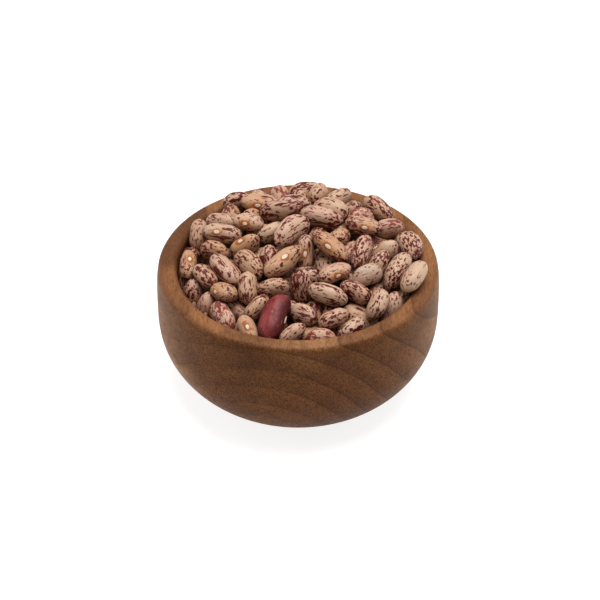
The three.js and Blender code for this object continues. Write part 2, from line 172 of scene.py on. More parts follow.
class Finish:
    """The nodes of one material. Each call adds a node and gives back its output."""

    def __init__(self, name):
        self.material = bpy.data.materials.new(name)
        self.material.use_nodes = True
        self.tree = self.material.node_tree
        self.shader = self.tree.nodes["Principled BSDF"]

    def plug(self, socket, value):
        if isinstance(value, bpy.types.NodeSocket):
            self.tree.links.new(value, socket)
        else:
            socket.default_value = value

    def add(self, kind, output, inputs, **settings):
        node = self.tree.nodes.new(kind)
        for name, value in settings.items():
            setattr(node, name, value)
        for name, value in inputs.items():
            self.plug(node.inputs[name], value)
        return node.outputs[output]

    def attribute(self, name):
        return self.add("ShaderNodeAttribute", "Vector", {}, attribute_name=name)

    def position(self):
        return self.add("ShaderNodeTexCoord", "Object", {})

    def axis(self, vector, letter):
        return self.add("ShaderNodeSeparateXYZ", letter, {"Vector": vector})

    def stretch(self, vector, x, y, z, move=(0, 0, 0)):
        inputs = {"Vector": vector, "Location": move, "Scale": (x, y, z)}
        return self.add("ShaderNodeMapping", "Vector", inputs)

    def maths(self, operation, a, b=0.0):
        return self.add("ShaderNodeMath", "Value", {0: a, 1: b}, operation=operation)

    def vectors(self, operation, a, b):
        return self.add("ShaderNodeVectorMath", "Vector", {0: a, 1: b}, operation=operation)

    def length(self, vector):
        return self.add("ShaderNodeVectorMath", "Value", {0: vector}, operation="LENGTH")

    def noise(self, vector, scale, detail=2.0, rough=0.5, distortion=0.0):
        inputs = {
            "Vector": vector,
            "Scale": scale,
            "Detail": detail,
            "Roughness": rough,
            "Distortion": distortion,
        }
        return self.add("ShaderNodeTexNoise", "Fac", inputs)

    def between(self, value, low, high, to_low=0.0, to_high=1.0):
        """Runs smoothly from one number to another while a value goes from low to high."""
        inputs = {0: value, 1: low, 2: high, 3: to_low, 4: to_high}
        return self.add("ShaderNodeMapRange", "Result", inputs, interpolation_type="SMOOTHSTEP")

    def blend(self, share, a, b, way="MIX"):
        inputs = {0: share, 6: a, 7: b}
        node = "ShaderNodeMix"
        return self.add(node, 2, inputs, data_type="RGBA", blend_type=way, clamp_factor=True)

    def bump(self, height, depth):
        normal = self.add("ShaderNodeBump", "Normal", {"Height": height, "Distance": depth})
        self.plug(self.shader.inputs["Normal"], normal)


def near(finish, place, centre, share):
    """A share that fades out round a place, further along the grain than across it."""
    move = (-centre[0], -PLACE_STRETCH * centre[1], -centre[2])
    distance = finish.length(finish.stretch(place, 1, PLACE_STRETCH, 1, move))
    return finish.between(distance, PLACE_CORE, PLACE_EDGE, share, 0)


def turned_wood():
    wood = Finish("oiled_hardwood")
    place = wood.stretch(wood.position(), 1 / MM, 1 / MM, 1 / MM)
    x = wood.axis(place, "X")
    normal = wood.add("ShaderNodeTexCoord", "Normal", {})
    end_grain = wood.between(wood.maths("ABSOLUTE", wood.axis(normal, "Y")), 0.35, 0.85)

    # The growth rings are a little wavy. Each starts with a dark line and pales outwards.
    across_grain = wood.stretch(place, 1, 0, 1, (-HEART[0], 0, -HEART[1]))
    waves = wood.noise(wood.stretch(place, 1, 0.2, 1), 0.035)
    radius = wood.maths("ADD", wood.length(across_grain), wood.maths("MULTIPLY", waves, 3))
    ring = wood.maths("FRACT", wood.maths("DIVIDE", radius, RING_WIDTH))
    line = wood.maths("MAXIMUM", wood.between(ring, 0, RING_LINE, 1, 0), wood.between(ring, 0.94, 1))
    ring_dark = wood.maths("MAXIMUM", wood.between(ring, 0, 0.8, 0.55, 0), line)
    ring_dark = wood.maths("MULTIPLY", ring_dark, wood.between(x, -20, 15, 0.5, 1))
    # Painted shade: the wood gets darker towards the foot.
    painted_low_shade = wood.between(wood.axis(place, "Z"), 3, LOW_SHADE_TOP, 0.5, 0)

    clouds = wood.noise(wood.stretch(place, 1, 0.3, 1), 0.045, detail=3)
    fibres = wood.noise(wood.stretch(place, 1, 0.1, 1), 0.9, detail=3, rough=0.7)
    colour = wood.blend(wood.between(clouds, 0.35, 0.7, 0, 0.6), WOOD_LIGHT, WOOD_DARK)
    colour = wood.blend(near(wood, place, PALE_PLACE, 0.85), colour, WOOD_PALE)
    # A pool of painted light makes the front of the rim paler.
    colour = wood.blend(near(wood, place, LIT_RIM_PLACE, 0.4), colour, WOOD_PALE)
    colour = wood.blend(wood.maths("MULTIPLY", ring_dark, 0.7), colour, WOOD_SMOKE_AND_SHADE)
    colour = wood.blend(painted_low_shade, colour, WOOD_SMOKE_AND_SHADE)

    # Smoky streaks run with the grain, mostly round one place on the left of the rim.
    streaks = wood.noise(wood.stretch(place, 1, 0.16, 1.3), 0.11, detail=5, rough=0.6, distortion=0.5)
    smoke = wood.maths("ADD", streaks, near(wood, place, SMOKY_PLACE, 0.5))
    colour = wood.blend(wood.between(smoke, 0.52, 0.8, 0, 0.75), colour, WOOD_SMOKE_AND_SHADE)
    colour = wood.blend(wood.between(fibres, 0.3, 0.7, 0, 0.35), colour, WOOD_DARK)

    # Pores are dots on the end grain and short dashes along the sides, and crowd where a ring
    # starts. A finer stipple lies between them.
    grain = wood.stretch(place, 1, 0.2, 1)
    cells = wood.add("ShaderNodeTexVoronoi", "Distance", {"Vector": grain, "Scale": 1.9})
    pore_size = wood.maths("MULTIPLY", wood.noise(place, 0.5), 0.6)
    pore_size = wood.maths("ADD", pore_size, wood.maths("MULTIPLY", ring_dark, 0.12))
    pores = wood.between(wood.maths("SUBTRACT", cells, pore_size), -0.1, 0.05, 1, 0)
    stipple = wood.between(wood.noise(grain, 2.4, detail=2, rough=0.7), 0.48, 0.58, 0, 0.6)
    pore_dark = wood.between(end_grain, 0, 1, 0.5, 1)
    colour = wood.blend(wood.maths("MULTIPLY", stipple, pore_dark), colour, WOOD_PORE)
    pore_dark = wood.maths("MULTIPLY", pore_dark, 0.45)
    colour = wood.blend(wood.maths("MULTIPLY", pores, pore_dark), colour, WOOD_PORE)
    # End grain is darker, and the same factor paints shade on the front and back walls.
    colour = wood.blend(end_grain, colour, END_GRAIN_AND_SHADE, way="MULTIPLY")

    wood.plug(wood.shader.inputs["Base Color"], colour)
    wood.plug(wood.shader.inputs["Roughness"], wood.between(fibres, 0.3, 0.75, 0.46, 0.62))
    wood.shader.inputs["Specular IOR Level"].default_value = 0.15
    wood.bump(wood.maths("SUBTRACT", wood.maths("MULTIPLY", fibres, 0.4), pores), 0.08 * MM)
    return wood.material


bowl.data.materials.append(turned_wood())
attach(bowl, "root")
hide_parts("bowl")

# ---------------------------------------------------------------- how the beans lie
# The beans were poured in and heaped up. Each row of TOP_BEANS is one bean on top: x, y of its one
# end and its other end, how far its eye looks to the left on the way between them (below 0 to the
# right, at 0 it is turned under), how far it is lifted, and the look of its skin.
BALL_RADIUS = 100  # the heap's outline is the top of a large ball
PEAK = (4, 10, 57)
BALL_CENTRE = (PEAK[0], PEAK[1], PEAK[2] - BALL_RADIUS)
CORE_DEPTH = 13.2  # the beans keep out of a plain core, this far below the outline
WALL_GAP = 0.8  # between a bean's straight outline and the wood, to leave room for its curl
SHORTEST = 10.5
LONGEST = 16
WIDTH_BASE = 3.8  # a bean is this wide, and WIDTH_SHARE of its length more
WIDTH_SHARE = 0.3
WIDTH_SPREAD = 0.8  # from the narrowest to the widest of one length
FLATNESS = 0.79  # thickness as a share of the width
STRAIGHT = 0.3  # share of its length between the two round ends
KIDNEY_LENGTH = 17.5
KIDNEY_WIDTH = 8.4
KIDNEY_ROW = (-4.3, -23, -11.2, -38, 1, 3)
KIDNEY_EYE_RISE = 0.1
TOP_BEANS = [
    (-29, 24, -19, 17, 0, -1, "pale"), (-20, 28, -7, 29, -5, -0.5, "tan"),
    (-7, 24, 4, 28, 0, -0.5, "streaked"), (8, 35, 6, 28, 0, 0, "speckled"),
    (8, 28, 19, 34, 0, -1, "patched"), (-13, 20, 2, 20, 0, 0, "streaked"),
    (5, 22, 17, 18, 0, 1, "patched"), (1, 17, 15, 11, 0, 1, "streaked"),
    (20, 25, 31, 17, 0, 0, "speckled"), (-32, 19, -34, 8, 0, 0, "speckled"),
    (-21, 18, -13, 13, -1, 0, "pale"), (-31, 17, -20, 9, -0.5, 0, "streaked"),
    (-14, 7, -3, 10, 0, 0, "pale"), (-7, 0, 3, 12, 0, 1, "streaked"),
    (14, 12, 27, 12, -1, 0, "speckled"), (27, 13, 35, 12, 0, 0, "pink"),
    (34, 14, 38.5, 1, 0, 0, "patched"), (-23, 2, -12, 3, -0.1, 0, "tan"),
    (-31, 6, -23, 1, 0, 0, "tan"), (5, 4, 17, -4, -0.6, 0, "tan"),
    (24, 5, 18, -8, 0, 0, "speckled"), (36, -1, 28, -15, 0, 0, "pale"),
    (41, -5, 34, -17, 0, 3, "pale"), (-12, -12, 1, -2, -0.2, 0, "tan"),
    (-21, -2, -10, -11, 0, 0, "tan"), (-30, -2, -18, -12, 0, 0, "streaked"),
    (-37, 4, -37, -8, 0.4, 0, "tan"), (-33, -4, -28, -13, 0, 0, "speckled"),
    (7, -15, 16, -8, -0.8, 0, "speckled"), (-3, -11, 8, -12, 0, -2, "dark"),
    (19, -13, 27, -10, 0, 0, "wrinkled"), (3, -17, 15, -23, 0, 0, "streaked"),
    (14, -16, 23, -21, 0, 0, "speckled"), (14, -25, 26, -30, -3, 0, "tan"),
    (28, -18, 23, -26, 0, 0, "pale"), (-18, -19, -13, -14, 0, 0, "patched"),
    (-13, -19, -3, -15, 0, 0, "speckled"), (-28, -13, -19, -19, -0.4, 0, "tan"),
    (-29, -19, -20, -30, 0, 0, "pink"), (-19, -28, -12, -35, 0.1, 0, "tan"),
    (-16, -27, -10, -21, 0, 0, "patched"), (-2, -26, 4, -29, 0, 0, "streaked"),
    (8, -31, 15, -28, 0, 0, "speckled"), (11, -35, 21, -30, 0, 1, "pale"),
    (-39, 10, -32, 3, 0, -1, "tan"), (-7, -35, 3, -32, 0, 0, "speckled"),
    (-13, -25, -4, -30, 0, -5, "speckled"), (-24, 28, -19, 33, 0, -0.5, "streaked"),
    (-9, 36, -4, 32, 0, -1.5, "pink"), (0, 34, 3, 27, 0.1, -1.5, "tan"),
    (17, 33, 20, 26, 0, -2.5, "speckled"), (18, 17, 25, 23, 0, -1, "pink"),
    (6.5, -21.5, 5.5, -31, 0, -2, "tan"), (4, -35, 12, -33.5, 0, -1, "pink"),
]
UNDER_KINDS = ("speckled", "pale", "streaked", "tan", "pink", "speckled", "tan", "patched")
TOP_DEPTH = 4  # from the heap's outline to the middle of a bean on top
UNDER_TOP = 5.5  # the least such depth of the ends of a bean's straight middle below those
EYE_RISE = 0.5  # how far an eye that a row turns sideways looks up
UNDER_COUNT = 50  # beans that fill the gaps between and below those on top
UNDER_REACH = 38  # how far out from the bowl's axis they start
UPPER_SHARE = 0.65  # this share of them starts at UPPER_DEPTH and the rest at LOWER_DEPTH
UPPER_DEPTH = 5
UPPER_SPREAD = 1.5  # the deepest of the upper ones starts this much deeper
LOWER_DEPTH = 11
UNDER_SHORTEST = 11.5
UNDER_SPREAD = 4  # from the shortest of those below to the longest
TRIES = 40  # places tried for each, of which the emptiest is taken
SEED = 26
PLACING_ROUNDS = 160  # the beans go to their places
SINKING_ROUNDS = 90  # every bean sinks until it rests on others
CALM_ROUNDS = 50  # the beans only make room for each other
SINK = 0.04  # how far a bean sinks in a round
TOP_EASE = 0.2  # how readily a bean on top gives way, beside one below
KIDNEY_EASE = 0.05  # the red bean lies on the others and hardly gives way
PULL = 0.08  # share of the way to its depth that a bean moves in a round
HOLD = 0.25  # the same for a bean on top and the place that its row gives
SINKING_HOLD = 0.08  # and for that bean while it sinks
SLIDE = 0.9  # a bean on top slides freely towards and away from a viewer in front
VIEWER = (0, -391, 335)
MAKE_ROOM = 0.6  # share of an overlap that is cleared in a round
NEAR = 1  # two beans whose middles lie this much further apart than their lengths reach are left
DEEP_COUNT = 60  # half sunk in the core, so that it shows nowhere between the others
DEEP_DEPTH = 13.5


def add(a, b):
    return (a[0] + b[0], a[1] + b[1], a[2] + b[2])


def sub(a, b):
    return (a[0] - b[0], a[1] - b[1], a[2] - b[2])


def mul(a, k):
    return (a[0] * k, a[1] * k, a[2] * k)


def dot(a, b):
    return a[0] * b[0] + a[1] * b[1] + a[2] * b[2]


def size(a):
    return math.sqrt(dot(a, a))


def unit(a):
    return mul(a, 1 / size(a))


def cross(a, b):
    return (a[1] * b[2] - a[2] * b[1], a[2] * b[0] - a[0] * b[2], a[0] * b[1] - a[1] * b[0])


def clamp(x, low, high):
    return low if x < low else high if x > high else x


class Draw:
    """Numbers from 0 to 1, the same ones in every run."""

    def __init__(self, seed):
        self.seed = seed

    def share(self):
        self.seed = (self.seed * 1664525 + 1013904223) % 4294967296
        return self.seed / 4294967296

    def direction(self):
        while True:
            d = (2 * self.share() - 1, 2 * self.share() - 1, 2 * self.share() - 1)
            if 0.1 < dot(d, d) < 1:
                return d


class Bean:
    """A straight middle between two round ends, wide towards its eye and thin across."""

    def __init__(self, start, end, length, width, eye, is_top, kind):
        self.length = length
        self.width = width
        self.thickness = FLATNESS * width
        self.half = (STRAIGHT * length) / 2
        self.tip = length / 2 - self.half
        self.eye = eye
        self.is_top = is_top
        self.kind = kind
        self.ease = TOP_EASE if is_top else 1
        self.start = start
        self.end = end
        self.straighten()

    def turn(self):
        self.along = unit(sub(self.end, self.start))
        self.up = unit(sub(self.eye, mul(self.along, dot(self.eye, self.along))))
        self.across = cross(self.along, self.up)
        self.middle = mul(add(self.start, self.end), 0.5)

    def straighten(self):
        self.turn()
        self.start = sub(self.middle, mul(self.along, self.half))
        self.end = add(self.middle, mul(self.along, self.half))

    def reach(self, direction):
        """How far it stands out from its middle line in a direction."""
        up = (dot(direction, self.up) * self.width) / 2
        across = (dot(direction, self.across) * self.thickness) / 2
        along = dot(direction, self.along) * self.tip
        return math.sqrt(up * up + across * across + along * along)

    def push(self, direction, distance, share):
        """Moves the point at a share of the way from its start to its end by a distance."""
        rest = 1 - share
        step = distance / (rest * rest + share * share)
        self.start = add(self.start, mul(direction, step * rest))
        self.end = add(self.end, mul(direction, step * share))


def on_ball(x, y, radius):
    dx = x - BALL_CENTRE[0]
    dy = y - BALL_CENTRE[1]
    return (x, y, BALL_CENTRE[2] + math.sqrt(radius * radius - dx * dx - dy * dy))


def outwards(point):
    return sub(point, BALL_CENTRE)


def width_of(length, draw):
    return WIDTH_BASE + WIDTH_SHARE * length + (draw.share() - 0.5) * WIDTH_SPREAD


def top_bean(row, draw, length=None, width=None, eye_rise=EYE_RISE, kind="kidney"):
    x1, y1, x2, y2, side, lift = row
    start = on_ball(x1, y1, BALL_RADIUS - TOP_DEPTH + lift)
    end = on_ball(x2, y2, BALL_RADIUS - TOP_DEPTH + lift)
    length = length or clamp(size(sub(end, start)), SHORTEST, LONGEST)
    width = width or width_of(length, draw)
    up = unit(outwards(mul(add(start, end), 0.5)))
    across = cross(up, unit(sub(end, start)))
    if side:
        eye = add(mul(up, eye_rise), mul(across, side))
    else:
        eye = add(mul(up, -1), mul(across, 2 * draw.share() - 1))
    bean = Bean(start, end, length, width, eye, True, kind)
    bean.home_start = bean.start
    bean.home_end = bean.end
    bean.home_middle = bean.middle
    return bean


def draw_place(depth, draw):
    while True:
        x = UNDER_REACH * (2 * draw.share() - 1)
        y = UNDER_REACH * (2 * draw.share() - 1)
        if x * x + y * y < UNDER_REACH * UNDER_REACH:
            return on_ball(x, y, BALL_RADIUS - depth)


def emptiness(place, beans):
    least = math.inf
    for bean in beans:
        for point in (bean.start, bean.middle, bean.end):
            apart = sub(place, point)
            least = min(least, dot(apart, apart))
    return least


def emptiest_place(depth, beans, draw):
    best = draw_place(depth, draw)
    best_room = emptiness(best, beans)
    for _ in range(1, TRIES):
        place = draw_place(depth, draw)
        room = emptiness(place, beans)
        if room > best_room:
            best, best_room = place, room
    return best


def under_bean(depth, beans, draw, kind):
    place = emptiest_place(depth, beans, draw)
    tilted = draw.direction()
    along = unit((tilted[0], tilted[1], tilted[2] / 2))
    eye = draw.direction()
    while size(cross(along, eye)) < 0.2:
        eye = draw.direction()
    length = UNDER_SHORTEST + UNDER_SPREAD * draw.share()
    width = width_of(length, draw)
    bean = Bean(sub(place, along), add(place, along), length, width, eye, False, kind)
    bean.depth = depth
    return bean


def nearest(a, b):
    """The shares along two beans' middle lines at which the lines come nearest."""
    da = sub(a.end, a.start)
    db = sub(b.end, b.start)
    gap = sub(a.start, b.start)
    aa = dot(da, da)
    bb = dot(db, db)
    ab = dot(da, db)
    ag = dot(da, gap)
    bg = dot(db, gap)
    spread = aa * bb - ab * ab
    free = clamp((ab * bg - ag * bb) / spread, 0, 1) if spread > 1e-9 else 0.5
    share = (ab * free + bg) / bb
    if share < 0:
        return clamp(-ag / aa, 0, 1), 0
    if share > 1:
        return clamp((ab - ag) / aa, 0, 1), 1
    return free, share


def make_room(a, b):
    apart = sub(a.middle, b.middle)
    touching = 0.5 * (a.length + b.length) + NEAR
    if dot(apart, apart) > touching * touching:
        return
    share_a, share_b = nearest(a, b)
    point_a = add(a.start, mul(sub(a.end, a.start), share_a))
    point_b = add(b.start, mul(sub(b.end, b.start), share_b))
    between = sub(point_a, point_b)
    distance = size(between)
    if distance < 1e-6:
        return
    direction = mul(between, 1 / distance)
    overlap = a.reach(direction) + b.reach(direction) - distance
    if overlap <= 0:
        return
    step = (MAKE_ROOM * overlap) / (a.ease + b.ease)
    a.push(direction, step * a.ease, share_a)
    b.push(direction, -step * b.ease, share_b)


def clear_wall(bean, share):
    """Keeps an end of a bean off the wall and the round inner edge of the rim."""
    point = bean.end if share else bean.start
    out = math.sqrt(point[0] * point[0] + point[1] * point[1])
    if out < 1e-6:
        return
    shoulder = BOWL_HEIGHT - EDGE_ROUND
    if point[2] < shoulder:
        inwards = (-point[0] / out, -point[1] / out, 0)
        room = hollow_radius(point[2]) - out - bean.reach(inwards) - WALL_GAP
        if room < 0:
            bean.push(inwards, -room, share)
        return
    ring = RIM_RADIUS - WALL + EDGE_ROUND
    from_ring = (
        point[0] - (point[0] / out) * ring,
        point[1] - (point[1] / out) * ring,
        point[2] - shoulder,
    )
    distance = size(from_ring)
    direction = mul(from_ring, 1 / distance)
    room = distance - EDGE_ROUND - bean.reach(direction) - WALL_GAP
    if room < 0:
        bean.push(direction, -room, share)


def clear_core(bean, share):
    """Keeps an end of a bean out of the core and, below the top ones, well under the outline."""
    height = outwards(bean.end if share else bean.start)
    distance = size(height)
    direction = mul(height, 1 / distance)
    room = distance - bean.reach(direction) - (BALL_RADIUS - CORE_DEPTH)
    if room < 0:
        bean.push(direction, -room, share)
    under = BALL_RADIUS - UNDER_TOP - distance
    if not bean.is_top and under < 0:
        bean.push(direction, under, share)


def go_home(bean, hold):
    """Draws a bean on top back to its row, though it may slide along the line of sight."""
    sight = unit(sub(bean.home_middle, VIEWER))
    slide = mul(sight, SLIDE * dot(sub(bean.middle, bean.home_middle), sight))
    bean.start = add(bean.start, mul(sub(add(bean.home_start, slide), bean.start), hold))
    bean.end = add(bean.end, mul(sub(add(bean.home_end, slide), bean.end), hold))


def move_outwards(bean, distance):
    step = mul(unit(outwards(bean.middle)), distance)
    bean.start = add(bean.start, step)
    bean.end = add(bean.end, step)


def settle(beans):
    """The beans go to their places, sink until they rest on others, and make room."""
    sinking_end = PLACING_ROUNDS + SINKING_ROUNDS
    for step in range(sinking_end + CALM_ROUNDS):
        placing = step < PLACING_ROUNDS
        sinking = not placing and step < sinking_end
        for bean in beans:
            if sinking:
                move_outwards(bean, -SINK)
            if bean.is_top and (placing or sinking):
                go_home(bean, HOLD if placing else SINKING_HOLD)
            if not bean.is_top and placing:
                height = size(outwards(bean.middle))
                move_outwards(bean, PULL * (BALL_RADIUS - bean.depth - height))
            bean.turn()
        for i, bean in enumerate(beans):
            for other in beans[i + 1 :]:
                make_room(bean, other)
        for bean in beans:
            for share in (0, 1):
                clear_wall(bean, share)
                clear_core(bean, share)
            bean.straighten()


def lay_beans():
    """The red bean comes first, and those below come last, each in the widest gap left."""
    draw = Draw(SEED)
    kidney = top_bean(KIDNEY_ROW, draw, KIDNEY_LENGTH, KIDNEY_WIDTH, KIDNEY_EYE_RISE)
    kidney.ease = KIDNEY_EASE
    beans = [kidney]
    for row in TOP_BEANS:
        beans.append(top_bean(row[:6], draw, kind=row[6]))
    for i in range(UNDER_COUNT):
        is_upper = i < UNDER_COUNT * UPPER_SHARE
        depth = UPPER_DEPTH + UPPER_SPREAD * draw.share() if is_upper else LOWER_DEPTH
        beans.append(under_bean(depth, beans, draw, UNDER_KINDS[i % len(UNDER_KINDS)]))
    settle(beans)
    for i in range(DEEP_COUNT):
        beans.append(under_bean(DEEP_DEPTH, beans, draw, UNDER_KINDS[i % len(UNDER_KINDS)]))
    return beans


beans = lay_beans()

# ---------------------------------------------------------------- the heap's core
# The beans in the middle of the heap can't be seen. One dark mass stands for them, which fills the
# bowl's hollow and carries the beans that show. Its near-black colour is painted shade.
CORE_SIDES = 64
CORE_GAP = 0.45  # between the core and the wood
CORE_SUNK = 1.5  # how much lower it is than CORE_DEPTH, from which the beans keep out
CORE_SHADE_DARK = (0.040, 0.018, 0.010, 1)
CORE_SHADE_LIGHT = (0.080, 0.036, 0.020, 1)


def core_rings():
    """Radius and height of each ring of the core's side, which follows the hollow."""
    steps = 10
    for i in range(1, steps):
        angle = i / steps * math.pi / 2
        radius = (BELLY_RADIUS - WALL - CORE_GAP) * math.sin(angle)
        yield radius, BELLY_HEIGHT - (BELLY_HEIGHT - FLOOR - CORE_GAP) * math.cos(angle)
    yield BELLY_RADIUS - WALL - CORE_GAP, BELLY_HEIGHT
    yield hollow_radius(BOWL_HEIGHT) - CORE_GAP, BOWL_HEIGHT


bpy.ops.object.select_all(action="DESELECT")
ring_radius, ring_height = 1, FLOOR + CORE_GAP
bpy.ops.mesh.primitive_circle_add(
    vertices=CORE_SIDES, radius=ring_radius * MM, fill_type="NGON", location=(0, 0, ring_height * MM)
)
core = bpy.context.object
core.name = "heap_core"
bpy.ops.object.transform_apply(location=True)
bpy.ops.object.mode_set(mode="EDIT")
bpy.ops.mesh.select_all(action="SELECT")
for next_radius, next_height in core_rings():
    rise = (next_height - ring_height) * MM
    grow = next_radius / ring_radius
    bpy.ops.mesh.extrude_region_move(TRANSFORM_OT_translate={"value": (0, 0, rise)})
    bpy.ops.transform.resize(value=(grow, grow, 1), center_override=(0, 0, 0))
    ring_radius, ring_height = next_radius, next_height
bpy.ops.mesh.select_all(action="SELECT")
bpy.ops.mesh.normals_make_consistent(inside=False)
bpy.ops.object.mode_set(mode="OBJECT")
bpy.ops.object.select_all(action="DESELECT")
bpy.ops.mesh.primitive_uv_sphere_add(
    segments=2 * CORE_SIDES,
    ring_count=CORE_SIDES,
    radius=(BALL_RADIUS - CORE_DEPTH - CORE_SUNK) * MM,
    location=mul(BALL_CENTRE, MM),
)
ball = bpy.context.object
bpy.context.view_layer.objects.active = core
cut = core.modifiers.new("under_the_ball", "BOOLEAN")
cut.operation = "INTERSECT"
cut.object = ball
bpy.ops.object.modifier_apply(modifier=cut.name)
bpy.data.objects.remove(ball)
bpy.ops.object.select_all(action="DESELECT")
core.select_set(True)
bpy.ops.object.shade_smooth_by_angle(angle=math.radians(40))


def shaded_bean_core():
    skin = Finish("shaded_bean_core")
    place = skin.position()
    # Painted shade: the core is coloured like dark, shadowed beans deep in the heap.
    grain = skin.noise(place, 160, detail=3)
    colour = skin.blend(grain, CORE_SHADE_DARK, CORE_SHADE_LIGHT)
    skin.plug(skin.shader.inputs["Base Color"], colour)
    skin.plug(skin.shader.inputs["Roughness"], 0.9)
    skin.shader.inputs["Specular IOR Level"].default_value = 0.05
    skin.bump(grain, 1.5 * MM)
    return skin.material


core.data.materials.append(shaded_bean_core())
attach(core, "root")
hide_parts("beans")

# ---------------------------------------------------------------- the speckled beans
# Dried speckled beans: a smooth, thin, satin skin, cream to tan and pinkish, with maroon specks,
# streaks and patches. One bean is modelled, and each bean of the heap is a copy of it, stretched
# to its own size, curled towards its eye and made a little uneven.
BEAN_SEGMENTS = 40
BEAN_RINGS = 27
MIDDLE_CUTS = 6
CURL = 0.9  # how far the ends bend towards the eye
CURL_SPREAD = 0.5  # share of that bend which the straightest bean lacks
TAPER = 0.12  # how much slimmer a bean gets towards its ends than when it was laid
TAPER_SPREAD = 0.10  # how much more the one end may taper, and the other less
LUMP = 0.16  # height of the unevenness of a bean, in millimetres
LUMP_WAVES = 5
LUMP_FINENESS = 0.32  # how fast such a wave turns, in radians for each millimetre
LOOK_SEED = 11


def select_points(obj, is_wanted):
    """Selects the points for which is_wanted(x, y, z) is true, with all else left out."""
    bpy.ops.mesh.select_all(action="DESELECT")
    bpy.ops.object.mode_set(mode="OBJECT")
    for point in obj.data.vertices:
        point.select = bool(is_wanted(*point.co))
    bpy.ops.object.mode_set(mode="EDIT")


def model_bean():
    """A bean of length, width and thickness 1: z is along it, y towards its eye, x across."""
    bpy.ops.object.select_all(action="DESELECT")
    bpy.ops.mesh.primitive_uv_sphere_add(segments=BEAN_SEGMENTS, ring_count=BEAN_RINGS, radius=0.5)
    bean = bpy.context.object
    bpy.ops.object.mode_set(mode="EDIT")
    bpy.ops.mesh.select_mode(type="VERT")
    bpy.ops.transform.resize(value=(1, 1, 1 - STRAIGHT))
    select_points(bean, lambda x, y, z: z > 0)
    bpy.ops.transform.translate(value=(0, 0, STRAIGHT / 2))
    select_points(bean, lambda x, y, z: z < 0)
    bpy.ops.transform.translate(value=(0, 0, -STRAIGHT / 2))
    bpy.ops.mesh.select_mode(type="EDGE")
    bpy.ops.mesh.select_all(action="DESELECT")
    bpy.ops.object.mode_set(mode="OBJECT")
    points = bean.data.vertices
    for edge in bean.data.edges:
        low, high = sorted(points[i].co.z for i in edge.vertices)
        edge.select = low < 0 < high
    bpy.ops.object.mode_set(mode="EDIT")
    bpy.ops.mesh.subdivide(number_cuts=MIDDLE_CUTS)
    bpy.ops.object.mode_set(mode="OBJECT")
    return bean


def take_mesh(obj):
    """The points and faces of a modelled thing, which is then no longer needed itself."""
    points = np.array([point.co for point in obj.data.vertices])
    faces = [tuple(face.vertices) for face in obj.data.polygons]
    bpy.data.objects.remove(obj)
    return points, faces


class Skin:
    """What is drawn once for each bean: its unevenness, its curl and the look of its skin."""

    def __init__(self, dice):
        self.waves = dice.normal(0, LUMP_FINENESS, (LUMP_WAVES, 3))
        self.phases = dice.uniform(0, 2 * math.pi, LUMP_WAVES)
        self.end = dice.uniform(-TAPER_SPREAD, TAPER_SPREAD)
        self.curl = dice.uniform(1 - CURL_SPREAD, 1)
        self.look = dice.uniform(0, 1, 3)


def copy_shape(points, bean, skin, curl, taper):
    """Points of the model, at the bean's size, curled and uneven, in the bean's own directions."""
    across, up, along = points.T
    to_end = 2 * along
    plump = 1 - (taper + skin.end * to_end) * to_end**2
    along = along * bean.length
    flat = np.stack([across * bean.thickness * plump, up * bean.width * plump, along], axis=1)
    lump = np.zeros(len(points))
    for wave, phase in zip(skin.waves, skin.phases):
        lump += LUMP / 2 * np.sin(flat @ wave + phase)
    outward = points / np.linalg.norm(points, axis=1, keepdims=True)
    shaped = flat + outward * lump[:, None]
    shaped[:, 1] += curl * skin.curl * (to_end**2 - 1 / 3)
    return flat, shaped


def join_copies(name, model, beans, skins, curl, taper=TAPER):
    """One mesh of a copy of the model for each bean. bean_place holds where each point lies on its
    own bean, in millimetres, and bean_look three numbers that are the same all over one bean."""
    points, faces = model
    all_points, all_faces, places, looks = [], [], [], []
    for bean, skin in zip(beans, skins):
        flat, shaped = copy_shape(points, bean, skin, curl, taper)
        turn = np.array([bean.across, bean.up, bean.along])
        first = len(points) * len(all_points)
        all_faces.extend(tuple(first + i for i in face) for face in faces)
        all_points.append(shaped @ turn + np.array(bean.middle))
        places.append(flat)
        looks.append(np.tile(skin.look, (len(points), 1)))
    mesh = bpy.data.meshes.new(name)
    mesh.from_pydata(np.concatenate(all_points) * MM, [], all_faces)
    for attribute_name, rows in (("bean_place", places), ("bean_look", looks)):
        attribute = mesh.attributes.new(attribute_name, "FLOAT_VECTOR", "POINT")
        attribute.data.foreach_set("vector", np.concatenate(rows).astype(np.float32).ravel())
    mesh.shade_smooth()
    piece = bpy.data.objects.new(name, mesh)
    bpy.context.collection.objects.link(piece)
    return piece


EYE_TAN = (0.47, 0.215, 0.085, 1)
EYE_RING = (0.330, 0.110, 0.025, 1)
CREAM = (0.53, 0.375, 0.265, 1)
PINK_CREAM = (0.515, 0.335, 0.243, 1)
TAN = (0.47, 0.280, 0.163, 1)
BUFF = (0.50, 0.325, 0.210, 1)
LILAC = (0.53, 0.350, 0.265, 1)
GREY_CREAM = (0.47, 0.37, 0.285, 1)
BLUSH = (0.42, 0.165, 0.140, 1)
MAROON = (0.095, 0.011, 0.010, 1)
DARK_MAROON = (0.060, 0.010, 0.012, 1)
BRICK = (0.210, 0.042, 0.030, 1)
MAUVE = (0.270, 0.095, 0.085, 1)
DUST = (0.33, 0.17, 0.10, 1)
EYE_EDGE = 0.9  # from the middle of the eye to where its white ends, in millimetres,
EYE_RING_EDGE = 1.25  # to where the orange-brown ring round it ends,
EYE_HALO_EDGE = 2.3  # and to where the tan round that has faded out
HALO_SHARE = 0.45
MARK_BLUR = 0.015  # how softly a mark ends
BLUSH_REACH = 0.06  # how far round a mark the ground blushes
BLUSH_SHARE = 0.4
MORE_AT_ENDS = 0.05  # how many more specks there are towards the ends and the back,
MORE_AT_BACK = 0.045
MORE_ON_SOME = 0.09  # on the most speckled bean,
MORE_BY_PLACE = 0.06  # and from place to place on one bean, or as many fewer


